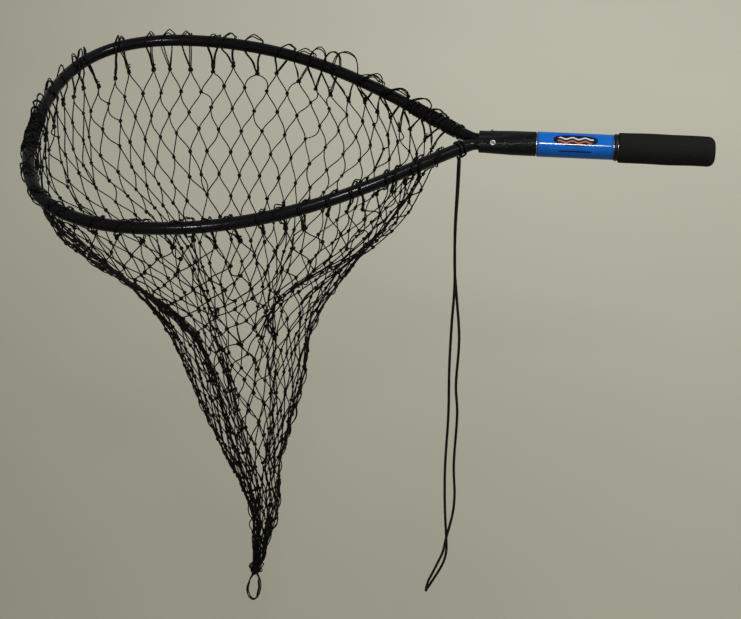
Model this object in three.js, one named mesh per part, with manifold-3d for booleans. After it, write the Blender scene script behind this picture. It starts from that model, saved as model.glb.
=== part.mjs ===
// Landing net: a pear-shaped hoop of bent tube whose two shanks run side by side into a short
// handle, a deep knotted bag hanging from the hoop, and a doubled lanyard hitched at the throat.
// Millimetres. +X runs along the handle towards the butt, +Z is up and the hoop lies in the XY
// plane. The origin is the middle of the foam grip, where a hand holds the net.

import * as THREE from 'three';
import { mergeVertices } from 'three/addons/utils/BufferGeometryUtils.js';
import Module from 'manifold-3d';

const wasm = await Module();
wasm.setup();

// ---- driving dimensions ------------------------------------------------------------------

const throatX = -200; // where the two legs of the hoop come together

const tubeRadius = 6.35; // half-inch aluminium tube
const tubeWall = 1.2;
const hoopLength = 450; // throat to tip, on the tube's centreline
const hoopHalfWidth = 184;
const widestFromThroat = 314;
const legAngle = THREE.MathUtils.degToRad(38.8); // each leg against the handle's line

const neckX = throatX - 8; // the legs start to bend into the shanks here
const neckY = 13;
const shankY = 5.65; // half the spacing of the two shanks
const shankScale = 0.85; // the shanks are swaged down to this share of the tube
const swageStart = throatX - 7;
const swageEnd = throatX + 5;
const shankEndX = throatX + 40;

const mouthX = throatX + 14; // the handle tube is pressed oval here to take both shanks
const ovalEndX = throatX + 42; // and keeps its full width to here
const roundX = throatX + 66; // and is round from here on
const mouthBore = 5.95;
const roundBore = 10.1;
const handleWall = 1;
const handleEndX = 40;

const gap = 0.3; // between pieces that touch on the real net
const sleeveWall = 0.9;
const sleeveStartX = throatX + 8;
const sleeveEndX = throatX + 67;
const labelStartX = sleeveEndX + gap;
const labelEndX = -54.5;
const labelRadius = 12.9;
const collarStartX = labelEndX + gap;
const collarEndX = -50;
const collarRadius = 13.8;
const gripStartX = collarEndX + gap;
const gripEndX = 48.5;
const gripRadius = 15.5;
const gripBlindX = 43; // the foam is closed beyond this
const sleeveBore = roundBore + handleWall + gap;

const rivetX = throatX + 22.5;
const rivetAngle = Math.PI / 4; // from the plane of the hoop, one rivet through each shank
const rivetStem = 1.6;
const rivetHole = 1.95;
const rivetHead = 3;

const headingRadius = 10; // the doubled loops of twine that hold the bag on the hoop
const headingBore = 7.7;
const headingGapX = throatX - 24; // the loops stop short of the throat
const bagWall = 3;
const bagTopZ = -10.7;
const bagEndX = throatX - 36;
const loopRadius = 8.6; // the open loop that closes the foot of the bag
const loopStretch = 2.2;
const loopTwine = 1.6;

const cordRadius = 1.5; // elastic lanyard cord
const hitchX = throatX - 11;
const hitchY = -(neckY + (neckX - hitchX) * Math.tan(legAngle));
const hitchBore = 6.9;
const hitchLength = 7;

// The doubled cord as one line: down one strand, round the end and up the other.
const lanyardRoute = [
  [-211.6, -17.2, -14.6], [-211.9, -17.3, -45], [-212.6, -17.2, -100], [-210.9, -17.2, -172],
  [-212.6, -17.3, -225], [-213.4, -17.4, -285], [-212.6, -17.2, -348], [-214.2, -17.1, -430],
  [-212.8, -17.6, -487], [-209.8, -18.1, -537.4], [-209.2, -19.8, -554], [-212.1, -21.4, -571.4],
  [-224.8, -22.2, -602.8], [-230.5, -22.3, -615.4], [-231.7, -20.2, -620.5], [-231.9, -15.2, -622.8],
  [-231, -10.2, -620.9], [-229.5, -8.2, -616], [-225.3, -8.2, -603.5], [-219, -8.6, -584.8],
  [-213.4, -11, -564.3], [-210.6, -13.6, -543.2], [-203.5, -13.9, -500], [-202.2, -13.6, -474],
  [-204.4, -13.6, -427], [-202.9, -13.8, -348], [-205.4, -13.7, -312], [-203.9, -13.6, -245],
  [-208.2, -13.5, -190], [-211.6, -13.6, -150], [-212.3, -13.7, -100], [-210.9, -13.7, -45],
  [-210.6, -13.6, -14.6],
];

// Each level of the hanging bag: height, its ends along X from the throat, its half width in Y.
const bagLevels = [
  [bagTopZ, -449, -36, 182], [-50, -460, -44, 176], [-105, -456, -70, 160], [-160, -408, -108, 138],
  [-210, -360, -142, 116], [-262, -332, -167, 95], [-322, -308, -174, 77], [-390, -285, -191, 58],
  [-455, -260, -208, 40], [-520, -240, -208, 26], [-585, -241, -222, 14], [-620, -244, -230, 9],
];
const bagFloorZ = -470; // the bag is bunched solid below this
const bagSegments = 28;
const outlineFadeZ = -170; // above this the bag still follows the outline of the hoop

// ---- materials ---------------------------------------------------------------------------

const material = (color, roughness, metalness = 0) =>
  new THREE.MeshStandardMaterial({ color, roughness, metalness });
const paintedTube = material(0x17181a, 0.35, 0.5);
const bareTube = material(0x8d9094, 0.35, 0.9);
const texturedSleeve = material(0x14171a, 0.5);
const blueLabel = material(0x0a57b0, 0.2);
const blackPlastic = material(0x0c0d0f, 0.5);
const foam = material(0x1a1b1a, 0.9);
const rivetMetal = material(0xb9bcc0, 0.3, 1);
const twine = material(0x141413, 0.75);
const elastic = material(0x121314, 0.65);

// ---- helpers -----------------------------------------------------------------------------

const group = new THREE.Group();
group.name = 'landing_net';

function add(name, geometry, look, parent = group) {
  const mesh = new THREE.Mesh(geometry, look);
  mesh.name = name;
  parent.add(mesh);
  return mesh;
}

function ringOfPoints(radius, sides) {
  const points = [];
  for (let i = 0; i < sides; i += 1) {
    const angle = (2 * Math.PI * i) / sides;
    points.push(new THREE.Vector2(radius * Math.cos(angle), radius * Math.sin(angle)));
  }
  return points;
}

// A solid or hollow round section swept along a curve.
function sweep(curve, radius, bore, sides, steps) {
  const shape = new THREE.Shape(ringOfPoints(radius, sides));
  if (bore > 0) shape.holes.push(new THREE.Path(ringOfPoints(bore, sides)));
  return new THREE.ExtrudeGeometry(shape, { steps, bevelEnabled: false, extrudePath: curve });
}

// A profile of [x, radius] pairs turned about the X axis.
function turned(profile, segments) {
  const points = profile.map(([x, radius]) => new THREE.Vector2(radius, x));
  const geometry = new THREE.LatheGeometry(points, segments);
  geometry.rotateZ(-Math.PI / 2);
  return geometry;
}

// A closed profile between an outer and an inner radius, each a function of x.
function shellProfile(stations, outer, inner) {
  const outside = stations.map((x) => [x, outer(x)]);
  const inside = stations.map((x) => [x, inner(x)]).reverse();
  return [...inside, ...outside, inside[0]];
}

function moveVertices(geometry, move) {
  const { position } = geometry.attributes;
  const point = new THREE.Vector3();
  for (let i = 0; i < position.count; i += 1) {
    point.fromBufferAttribute(position, i);
    move(point, i);
    position.setXYZ(i, point.x, point.y, point.z);
  }
  return geometry;
}

function toSolid(geometry) {
  const bare = geometry.clone();
  bare.deleteAttribute('normal');
  bare.deleteAttribute('uv');
  const merged = mergeVertices(bare, 1e-4);
  return new wasm.Manifold(new wasm.Mesh({
    numProp: 3,
    vertProperties: Float32Array.from(merged.attributes.position.array),
    triVerts: Uint32Array.from(merged.index.array),
  }));
}

function toGeometry(solid) {
  const mesh = solid.getMesh();
  const geometry = new THREE.BufferGeometry();
  geometry.setAttribute('position', new THREE.BufferAttribute(mesh.vertProperties, 3));
  geometry.setIndex(new THREE.BufferAttribute(mesh.triVerts, 1));
  geometry.computeVertexNormals();
  return geometry;
}

function cut(geometry, cutters) {
  return toGeometry(cutters.reduce((solid, tool) => solid.subtract(toSolid(tool)), toSolid(geometry)));
}

// ---- the hoop's centreline ---------------------------------------------------------------

// One half of the outline from the throat end to the tip. side is -1 (near) or 1 (far).
function halfOutline(side) {
  const at = (x, y) => new THREE.Vector3(x, side * y, 0);
  const widestX = throatX - widestFromThroat;
  const tipX = throatX - hoopLength;
  const reach = [88.6, 145.7, 114.6, 95];
  const leg = new THREE.CubicBezierCurve3(
    at(neckX, neckY),
    at(neckX - reach[0] * Math.cos(legAngle), neckY + reach[0] * Math.sin(legAngle)),
    at(widestX + reach[1], hoopHalfWidth),
    at(widestX, hoopHalfWidth),
  );
  const bow = new THREE.CubicBezierCurve3(
    at(widestX, hoopHalfWidth),
    at(widestX - reach[2], hoopHalfWidth),
    at(tipX, reach[3]),
    at(tipX, 0),
  );
  return { leg, bow };
}

const reversed = ({ v0, v1, v2, v3 }) => new THREE.CubicBezierCurve3(v3, v2, v1, v0);

// The neck turns a leg parallel to the handle, and a straight shank follows it.
function shankAndNeck(side) {
  const at = (x, y) => new THREE.Vector3(x, side * y, 0);
  const bendX = throatX + 12;
  const shank = new THREE.LineCurve3(at(shankEndX, shankY), at(bendX, shankY));
  const neck = new THREE.CubicBezierCurve3(
    at(bendX, shankY),
    at(bendX - 9, shankY),
    at(neckX + 8 * Math.cos(legAngle), neckY - 8 * Math.sin(legAngle)),
    at(neckX, neckY),
  );
  return { shank, neck };
}

const near = { ...halfOutline(-1), ...shankAndNeck(-1) };
const far = { ...halfOutline(1), ...shankAndNeck(1) };

const hoopCurve = new THREE.CurvePath();
hoopCurve.add(near.shank);
hoopCurve.add(near.neck);
hoopCurve.add(near.leg);
hoopCurve.add(near.bow);
hoopCurve.add(reversed(far.bow));
hoopCurve.add(reversed(far.leg));
hoopCurve.add(reversed(far.neck));
hoopCurve.add(new THREE.LineCurve3(far.shank.v2, far.shank.v1));

// ---- the oval mouth of the handle --------------------------------------------------------

const between = (x, from, to) => THREE.MathUtils.clamp((x - from) / (to - from), 0, 1);
const boreAt = (x) => THREE.MathUtils.lerp(mouthBore, roundBore, between(x, mouthX, roundX));
const halfWidthAt = (x) =>
  THREE.MathUtils.lerp(shankY + mouthBore, roundBore, between(x, ovalEndX, roundX));
const spreadAt = (x) => Math.max(0, halfWidthAt(x) - boreAt(x));

// Widens a round section into the oval that holds the two shanks.
function pressOval(geometry) {
  return moveVertices(geometry, (point) => {
    const radius = Math.hypot(point.y, point.z);
    const lean = radius > 0 ? point.y / radius : 0;
    point.y += spreadAt(point.x) * THREE.MathUtils.clamp(2 * lean, -1, 1);
  });
}

// A cylinder along a rivet's line, between two distances from the centre of the oval's end.
function alongRivet(side, radius, from, to, sides = 12) {
  const geometry = new THREE.CylinderGeometry(radius, radius, to - from, sides);
  geometry.translate(0, (from + to) / 2, 0);
  geometry.rotateX(Math.PI / 2 - rivetAngle);
  if (side < 0) geometry.rotateZ(Math.PI);
  geometry.translate(rivetX, side * spreadAt(rivetX), 0);
  return geometry;
}

const rivetCutters = [-1, 1].map((side) => alongRivet(side, rivetHole, 2, 14));

// ---- frame pieces ------------------------------------------------------------------------

function makeHoopTube() {
  const tube = sweep(hoopCurve, tubeRadius, tubeRadius - tubeWall, 12, 92);
  moveVertices(tube, (point) => {
    if (point.x < swageStart) return;
    const scale = THREE.MathUtils.lerp(1, shankScale, between(point.x, swageStart, swageEnd));
    const side = Math.sign(point.y);
    const curve = side < 0 ? near : far;
    const along = between(point.x, throatX + 12, neckX);
    const axisY = point.x > throatX + 12 ? side * shankY : curve.neck.getPoint(along).y;
    point.y = axisY + (point.y - axisY) * scale;
    point.z *= scale;
  });
  return cut(tube, rivetCutters);
}

function makeHandleTube() {
  const stations = [mouthX, mouthX + 14, ovalEndX, ovalEndX + 12, roundX, handleEndX];
  const profile = shellProfile(stations, (x) => boreAt(x) + handleWall, boreAt);
  return cut(pressOval(turned(profile, 24)), rivetCutters);
}

function makeThroatSleeve() {
  const stations = [sleeveStartX, mouthX, mouthX + 14, ovalEndX, ovalEndX + 12, roundX, sleeveEndX];
  const inner = (x) => boreAt(x) + handleWall + gap;
  const profile = shellProfile(stations, (x) => inner(x) + sleeveWall, inner);
  return cut(pressOval(turned(profile, 24)), rivetCutters);
}

function makeRivet(side) {
  const surface = boreAt(rivetX) + handleWall + gap + sleeveWall;
  const stem = toSolid(alongRivet(side, rivetStem, 3.4, surface + 0.8));
  const rim = toSolid(alongRivet(side, rivetHead, surface + 0.35, surface + 0.9, 16));
  const crown = toSolid(alongRivet(side, rivetHead * 0.7, surface + 0.7, surface + 1.5, 16));
  return toGeometry(stem.add(rim).add(crown));
}

function makeFoamGrip() {
  const round = 7;
  const corner = (angle) => [
    gripEndX - round + round * Math.sin(angle),
    gripRadius - round + round * Math.cos(angle),
  ];
  return turned([
    [gripBlindX, 0], [gripBlindX, sleeveBore], [gripStartX, sleeveBore],
    [gripStartX, gripRadius - 1], [gripStartX + 1, gripRadius],
    corner(0), corner(Math.PI / 8), corner(Math.PI / 4), corner((3 * Math.PI) / 8), corner(Math.PI / 2),
    [gripEndX, 0],
  ], 32);
}

function makeButtPlug() {
  const flangeX = handleEndX + gap;
  return turned([
    [flangeX - 14, 0], [flangeX - 14, roundBore - 1], [flangeX - 12, roundBore - gap],
    [flangeX, roundBore - gap], [flangeX, roundBore + handleWall],
    [flangeX + 2, roundBore + handleWall], [flangeX + 2, 0],
  ], 24);
}

const frame = new THREE.Group();
group.add(frame);
add('hoop_tube', makeHoopTube(), paintedTube, frame);
add('handle_tube', makeHandleTube(), bareTube, frame);
add('throat_sleeve', makeThroatSleeve(), texturedSleeve, frame);
add('rivet_near', makeRivet(-1), rivetMetal, frame);
add('rivet_far', makeRivet(1), rivetMetal, frame);
const labelProfile = shellProfile([labelStartX, labelEndX], () => labelRadius, () => sleeveBore);
add('label_sleeve', turned(labelProfile, 28), blueLabel, frame);
const collarProfile = shellProfile([collarStartX, collarEndX], () => collarRadius, () => sleeveBore);
add('grip_collar', turned(collarProfile, 28), blackPlastic, frame);
add('foam_grip', makeFoamGrip(), foam, frame);
add('butt_plug', makeButtPlug(), blackPlastic, frame);

// ---- the bag -----------------------------------------------------------------------------

// The loops of doubled twine round the hoop, as one jacket from leg to leg.
function makeHeading() {
  const points = hoopCurve.getSpacedPoints(140).filter((point) => point.x < headingGapX);
  return sweep(new THREE.CatmullRomCurve3(points), headingRadius, headingBore, 8, 80);
}

// Points of the hoop's outline, evenly spread, starting at the throat and passing the near side.
function outlinePoints(count) {
  const loop = new THREE.CurvePath();
  [near.leg, near.bow, reversed(far.bow), reversed(far.leg)].forEach((curve) => loop.add(curve));
  loop.add(new THREE.LineCurve3(far.leg.v0, near.leg.v0));
  return loop.getSpacedPoints(count);
}

// The bag as a thin skin, open at the hoop and bunched solid at its foot.
function makeBag() {
  const outline = outlinePoints(bagSegments);
  const rowOf = ([z, back, front, half]) => ({
    z,
    half,
    reach: (front - back) / 2,
    middle: throatX + (front + back) / 2,
    keep: between(z, outlineFadeZ, bagTopZ),
  });
  const rows = bagLevels.map(rowOf);
  const open = rows.filter((row) => row.z >= bagFloorZ);
  const foot = rows[rows.length - 1];
  const floor = open[open.length - 1];
  const stations = [
    { row: floor, wall: 0, axis: true },
    ...[...open].reverse().map((row) => ({ row, wall: bagWall })),
    ...rows.map((row) => ({ row, wall: 0 })),
    { row: foot, wall: 0, axis: true },
  ];
  const profile = stations.map(({ row, wall, axis }) =>
    new THREE.Vector2(axis ? 0 : 10 - wall, row.z));
  const skin = new THREE.LatheGeometry(profile, bagSegments);
  return moveVertices(skin, (point, index) => {
    const { row, wall, axis } = stations[index % stations.length];
    const segment = Math.floor(index / stations.length) % bagSegments;
    const angle = (2 * Math.PI * segment) / bagSegments;
    const centre = new THREE.Vector3(row.middle, 0, row.z);
    point.copy(centre);
    if (axis) return;
    point.x += row.reach * Math.cos(angle);
    point.y -= row.half * Math.sin(angle);
    const rim = outline[segment].clone().setZ(row.z);
    rim.x = Math.min(rim.x, bagEndX);
    point.lerp(rim, row.keep);
    const reach = point.distanceTo(centre);
    point.sub(centre).multiplyScalar(1 - wall / reach).add(centre);
  });
}

function makeClosingLoop() {
  const footZ = bagLevels[bagLevels.length - 1][0];
  const knotZ = footZ - 7;
  const knot = new THREE.SphereGeometry(5.5, 12, 8);
  knot.scale(1, 1, 1.15);
  knot.translate(throatX - 239, 0, knotZ);
  const reach = loopRadius * loopStretch;
  const ring = new THREE.TorusGeometry(loopRadius, loopTwine, 8, 24);
  ring.scale(1, loopStretch, 1);
  ring.rotateX(Math.PI / 2);
  ring.translate(throatX - 241, 0, knotZ - 4.5 - reach);
  return toGeometry(toSolid(knot).add(toSolid(ring)));
}

const bag = new THREE.Group();
group.add(bag);
add('bag_heading', makeHeading(), twine, bag);
add('bag_body', makeBag(), twine, bag);
add('closing_loop', makeClosingLoop(), twine, bag);

// ---- the lanyard -------------------------------------------------------------------------

// Two turns of cord round the near leg, with the bight they are drawn through underneath.
function makeHitch() {
  const half = hitchLength / 2;
  const outer = hitchBore + 2 * cordRadius;
  const turns = turned(shellProfile([-half, half], () => outer, () => hitchBore), 20);
  turns.rotateZ(legAngle);
  turns.translate(hitchX, hitchY, 0);
  const bight = new THREE.SphereGeometry(4.4, 12, 8);
  bight.scale(0.9, 1, 0.8);
  bight.translate(hitchX, hitchY, -(hitchBore + 3.6));
  return toGeometry(toSolid(turns).add(toSolid(bight)));
}

function makeLanyardCord() {
  const curve = new THREE.CatmullRomCurve3(lanyardRoute.map((point) => new THREE.Vector3(...point)));
  return sweep(curve, cordRadius, 0, 8, 80);
}

const lanyard = new THREE.Group();
group.add(lanyard);
add('lanyard_hitch', makeHitch(), elastic, lanyard);
add('lanyard_cord', makeLanyardCord(), elastic, lanyard);

export default group;
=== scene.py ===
"""Landing net: the looks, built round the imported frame.

Metres, in the row frame: +X along the handle towards its butt, +Y across the hoop, +Z up.
The origin is the middle of the foam grip. The bag hangs to -Z.
"""

import math

import bpy
import numpy as np
from mathutils import Matrix, Vector


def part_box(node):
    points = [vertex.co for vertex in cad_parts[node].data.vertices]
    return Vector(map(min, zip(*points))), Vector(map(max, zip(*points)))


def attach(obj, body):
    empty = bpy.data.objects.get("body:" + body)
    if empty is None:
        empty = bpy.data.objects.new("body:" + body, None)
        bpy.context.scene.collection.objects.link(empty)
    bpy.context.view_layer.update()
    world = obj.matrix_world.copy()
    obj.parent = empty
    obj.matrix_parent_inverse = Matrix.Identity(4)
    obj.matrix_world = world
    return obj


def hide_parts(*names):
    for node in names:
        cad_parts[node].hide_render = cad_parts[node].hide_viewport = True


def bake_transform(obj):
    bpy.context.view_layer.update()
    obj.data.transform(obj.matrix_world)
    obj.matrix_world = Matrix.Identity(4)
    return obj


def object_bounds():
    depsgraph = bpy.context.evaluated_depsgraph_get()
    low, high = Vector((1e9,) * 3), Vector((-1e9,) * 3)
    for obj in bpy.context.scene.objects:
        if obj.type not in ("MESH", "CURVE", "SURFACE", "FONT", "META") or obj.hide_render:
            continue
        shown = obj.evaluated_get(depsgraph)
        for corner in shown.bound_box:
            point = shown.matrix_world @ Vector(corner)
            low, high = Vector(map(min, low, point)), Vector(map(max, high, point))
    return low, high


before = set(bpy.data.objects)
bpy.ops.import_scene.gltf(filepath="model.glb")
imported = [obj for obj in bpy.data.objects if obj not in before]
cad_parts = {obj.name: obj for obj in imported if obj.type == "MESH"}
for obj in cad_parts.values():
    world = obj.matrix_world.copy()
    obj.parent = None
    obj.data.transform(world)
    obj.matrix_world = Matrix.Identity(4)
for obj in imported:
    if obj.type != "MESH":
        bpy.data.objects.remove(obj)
CAD_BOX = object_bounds()

MM = 0.001
UP = np.array([0.0, 0.0, 1.0])
WHITE = (1.0, 1.0, 1.0)

# ---- driving dimensions ----

# The hoop and the handle, as in the CAD.
THROAT_X = -0.200
TUBE_R = 0.00635
HOOP_LENGTH = 0.450
HOOP_HALF_WIDTH = 0.184
WIDEST = 0.314
LEG_ANGLE = math.radians(38.8)
NECK_X = THROAT_X - 0.008
NECK_Y = 0.013
SHANK_Y = 0.00565
SHANK_SCALE = 0.85
SLEEVE_END = THROAT_X + 0.067
RIVET_X = THROAT_X + 0.0225
LABEL_R = 0.0129

# The netting, which is a smooth skin in the CAD.
TWINE_R = 0.00068
BAR = 0.028  # knot to knot
HEADING_MESHES = 56
BAG_ROWS = 26
UPPER_ROWS = BAG_ROWS // 3 + 1  # the rows in the upper pieces
FOOT_MESHES = 10
FOOT = np.array([-0.441, 0.0, -0.619])  # where the last meshes are drawn together
SPINE = MM * np.array([[-660, -440], [-400, -440], [-200, -455], [0, -452]])  # height, X of the middle

# Height, back end, front end (both along X from the throat) and half width of the hanging bag.
BAG_LEVELS = MM * np.array([
    [-620, -243, -235, 5], [-585, -241, -226, 10], [-520, -240, -208, 26], [-455, -260, -208, 40],
    [-390, -285, -191, 58], [-322, -308, -174, 77], [-262, -332, -167, 95], [-210, -360, -142, 116],
    [-160, -408, -108, 138], [-105, -456, -70, 160], [-50, -460, -44, 176], [-10.7, -449, -36, 182],
])

# Folds of the bag: bearing from the throat round by the near side, spread, and how hard they draw in.
FOLDS = ((2.02, 0.74, 0.92), (1.42, 0.17, 0.6), (0.72, 0.42, 0.76), (-2.3, 0.50, 0.70), (-1.0, 0.3, 0.6))

# Where the bag falls inwards: height and share, on the near side of the tip and of the throat.
SLACK_SIDE = np.array([[-0.38, 0], [-0.26, 0.18], [-0.15, 0.24], [-0.10, 0.10], [-0.05, 0]])
SLACK_FRONT = np.array([[-0.34, 0], [-0.26, 0.25], [-0.19, 0.32], [-0.10, 0.14], [-0.03, 0]])

# The lanyard. Its thickness, hitch point and route are as in the CAD.
CORD_R = 0.0015
HITCH = np.array([THROAT_X - 0.011, -(NECK_Y + 0.003 * math.tan(LEG_ANGLE)), 0.0])
LANYARD_ROUTE = MM * np.array([
    [-211.6, -17.2, -14.6], [-211.9, -17.3, -45], [-212.6, -17.2, -100], [-210.9, -17.2, -172],
    [-212.6, -17.3, -225], [-213.4, -17.4, -285], [-212.6, -17.2, -348], [-214.2, -17.1, -430],
    [-212.8, -17.6, -487], [-209.8, -18.1, -537.4], [-209.2, -19.8, -554], [-212.1, -21.4, -571.4],
    [-224.8, -22.2, -602.8], [-230.5, -22.3, -615.4], [-231.7, -20.2, -620.5], [-231.9, -15.2, -622.8],
    [-231, -10.2, -620.9], [-229.5, -8.2, -616], [-225.3, -8.2, -603.5], [-219, -8.6, -584.8],
    [-213.4, -11, -564.3], [-210.6, -13.6, -543.2], [-203.5, -13.9, -500], [-202.2, -13.6, -474],
    [-204.4, -13.6, -427], [-202.9, -13.8, -348], [-205.4, -13.7, -312], [-203.9, -13.6, -245],
    [-208.2, -13.5, -190], [-211.6, -13.6, -150], [-212.3, -13.7, -100], [-210.9, -13.7, -45],
    [-210.6, -13.6, -14.6],
])


# ---- mesh helpers ----

def unit(v):
    return v / np.maximum(np.linalg.norm(v, axis=-1, keepdims=True), 1e-12)


def mesh_object(name, verts, quads, caps=None, uv=None):
    """A smooth mesh from arrays: quads (n, 4), end faces as caps (m, k), and uv for each quad corner."""
    quads = np.asarray(quads, np.int32)
    parts = [quads.ravel()]
    totals = [np.full(len(quads), 4, np.int32)]
    if caps is not None and len(caps):
        caps = np.asarray(caps, np.int32)
        parts.append(caps.ravel())
        totals.append(np.full(len(caps), caps.shape[1], np.int32))
    corners = np.concatenate(parts)
    totals = np.concatenate(totals)
    starts = np.concatenate([[0], np.cumsum(totals)[:-1]]).astype(np.int32)
    mesh = bpy.data.meshes.new(name)
    mesh.vertices.add(len(verts))
    mesh.vertices.foreach_set("co", np.asarray(verts, np.float32).ravel())
    mesh.loops.add(len(corners))
    mesh.loops.foreach_set("vertex_index", corners)
    mesh.polygons.add(len(totals))
    mesh.polygons.foreach_set("loop_start", starts)
    mesh.polygons.foreach_set("loop_total", totals)
    mesh.polygons.foreach_set("use_smooth", np.ones(len(totals), bool))
    if uv is not None:
        layer = mesh.uv_layers.new(name="UVMap")
        flat = np.zeros((len(corners), 2), np.float32)
        flat[: quads.size] = np.asarray(uv, np.float32).reshape(-1, 2)
        layer.data.foreach_set("uv", flat.ravel())
    mesh.update(calc_edges=True)
    mesh.validate()
    piece = bpy.data.objects.new(name, mesh)
    bpy.context.scene.collection.objects.link(piece)
    return piece


def square_to(v, along):
    """The unit vectors nearest to v that stand square to along."""
    return unit(v - (v * along).sum(1, keepdims=True) * along)


def frames_along(lines):
    """Tangents and two normals carried along each line without twist. lines is (m, k, 3)."""
    tangent = unit(np.gradient(lines, axis=1))
    first = tangent[:, 0]
    upright = np.abs(first[:, 2:3]) >= 0.9
    helper = np.where(upright, np.array([[1.0, 0.0, 0.0]]), UP[None])
    normal = np.empty_like(lines)
    normal[:, 0] = square_to(helper, first)
    for k in range(1, lines.shape[1]):
        normal[:, k] = square_to(normal[:, k - 1], tangent[:, k])
    return tangent, normal, np.cross(tangent, normal)


def sweep(lines, radius, sides):
    """Round tubes with closed ends along lines (m, k, 3). radius is a number or (m, k)."""
    lines = np.asarray(lines, float)
    count, steps, _ = lines.shape
    _, normal, side = frames_along(lines)
    angle = 2 * np.pi * np.arange(sides) / sides
    radius = np.broadcast_to(np.asarray(radius, float), (count, steps))[..., None, None]
    ring = normal[:, :, None] * np.cos(angle)[:, None] + side[:, :, None] * np.sin(angle)[:, None]
    verts = (lines[:, :, None] + radius * ring).reshape(-1, 3)
    tube, step, corner = np.indices((count, steps - 1, sides))
    base = (tube * steps + step) * sides
    after = (corner + 1) % sides
    quads = np.stack([base + corner, base + after, base + sides + after, base + sides + corner], -1)
    length = np.zeros((count, steps))
    length[:, 1:] = np.cumsum(np.linalg.norm(np.diff(lines, axis=1), axis=2), axis=1)
    low, high = length[tube, step], length[tube, step + 1]
    left, right = corner / sides, (corner + 1) / sides
    uv = np.stack([
        np.stack([left, low], -1), np.stack([right, low], -1),
        np.stack([right, high], -1), np.stack([left, high], -1),
    ], -2)
    ends = np.arange(count)[:, None] * steps * sides + np.arange(sides)
    caps = np.concatenate([ends[:, ::-1], ends + (steps - 1) * sides])
    return verts, quads.reshape(-1, 4), caps, uv.reshape(-1, 2)


def tubes(name, lines, radius, sides):
    verts, quads, caps, uv = sweep(lines, radius, sides)
    return mesh_object(name, verts, quads, caps, uv)


def join_sweeps(name, sweeps):
    """One piece from several sweeps that have the same number of sides."""
    offset = 0
    parts = []
    for verts, quads, caps, uv in sweeps:
        parts.append((verts, quads + offset, caps + offset, uv))
        offset += len(verts)
    return mesh_object(name, *(np.concatenate(part) for part in zip(*parts)))


def smooth_line(points, count):
    """Evenly spaced points on a centripetal Catmull-Rom curve through the given ones."""
    points = np.asarray(points, float)
    padded = np.vstack([2 * points[0] - points[1], points, 2 * points[-1] - points[-2]])
    pieces = []
    for a, b, c, d in zip(padded[:-3], padded[1:-2], padded[2:-1], padded[3:]):
        t0 = 0.0
        t1 = t0 + max(np.linalg.norm(b - a), 1e-9) ** 0.5
        t2 = t1 + max(np.linalg.norm(c - b), 1e-9) ** 0.5
        t3 = t2 + max(np.linalg.norm(d - c), 1e-9) ** 0.5
        t = np.linspace(t1, t2, 24, endpoint=False)[:, None]

        def between(low, start, high, end):
            return (high - t) / (high - low) * start + (t - low) / (high - low) * end

        ab, bc, cd = between(t0, a, t1, b), between(t1, b, t2, c), between(t2, c, t3, d)
        abc, bcd = between(t0, ab, t2, bc), between(t1, bc, t3, cd)
        pieces.append(between(t1, abc, t2, bcd))
    return evenly(np.vstack(pieces + [points[-1:]]), count)


def evenly(line, count):
    run = np.concatenate([[0], np.cumsum(np.linalg.norm(np.diff(line, axis=0), axis=1))])
    at = np.linspace(0, run[-1], count)
    return np.stack([np.interp(at, run, line[:, k]) for k in range(3)], 1)


def eased(share):
    """0 to 1 without a sudden start or end."""
    return share * share * (3 - 2 * share)


def turn_from(bearing, centre):
    """The signed turn between two bearings, at most half a turn either way."""
    return np.mod(bearing - centre + np.pi, 2 * np.pi) - np.pi


def turned(name, profile, segments, reshape=None):
    """A surface turned about X from a list of (x, radius). reshape(x, angle, radius) gives y and z."""
    profile = np.asarray(profile, float)
    angle = 2 * np.pi * np.arange(segments) / segments
    x = np.repeat(profile[:, 0], segments)
    radius = np.repeat(profile[:, 1], segments)
    around = np.tile(angle, len(profile))
    if reshape is None:
        y, z = radius * np.cos(around), radius * np.sin(around)
    else:
        y, z = reshape(x, around, radius)
    rows, columns = np.indices((len(profile) - 1, segments))
    after = (columns + 1) % segments
    quads = np.stack([
        rows * segments + columns, rows * segments + after,
        (rows + 1) * segments + after, (rows + 1) * segments + columns,
    ], -1).reshape(-1, 4)
    ends = np.arange(segments)
    caps = [ends[::-1], ends + (len(profile) - 1) * segments]
    return mesh_object(name, np.stack([x, y, z], 1), quads, caps)


def rounded(start, end, radius, edge, steps=5):
    """A turned profile with rounded shoulders."""
    quarter = np.linspace(0, np.pi / 2, steps)
    left = [(start + edge - edge * math.cos(q), radius - edge + edge * math.sin(q)) for q in quarter]
    right = [(end - edge + edge * math.sin(q), radius - edge + edge * math.cos(q)) for q in quarter]
    return left + right


def place(piece, body, look, slot, *nodes):
    """Gives a piece its look, puts it under its body and hides the CAD nodes that it stands for. slot is
    not used. body is None for a piece that is put under no body.
    """
    piece.data.materials.clear()
    piece.data.materials.append(look)
    if body:
        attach(piece, body)
    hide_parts(*nodes)
    return piece


# ---- materials ----

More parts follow.
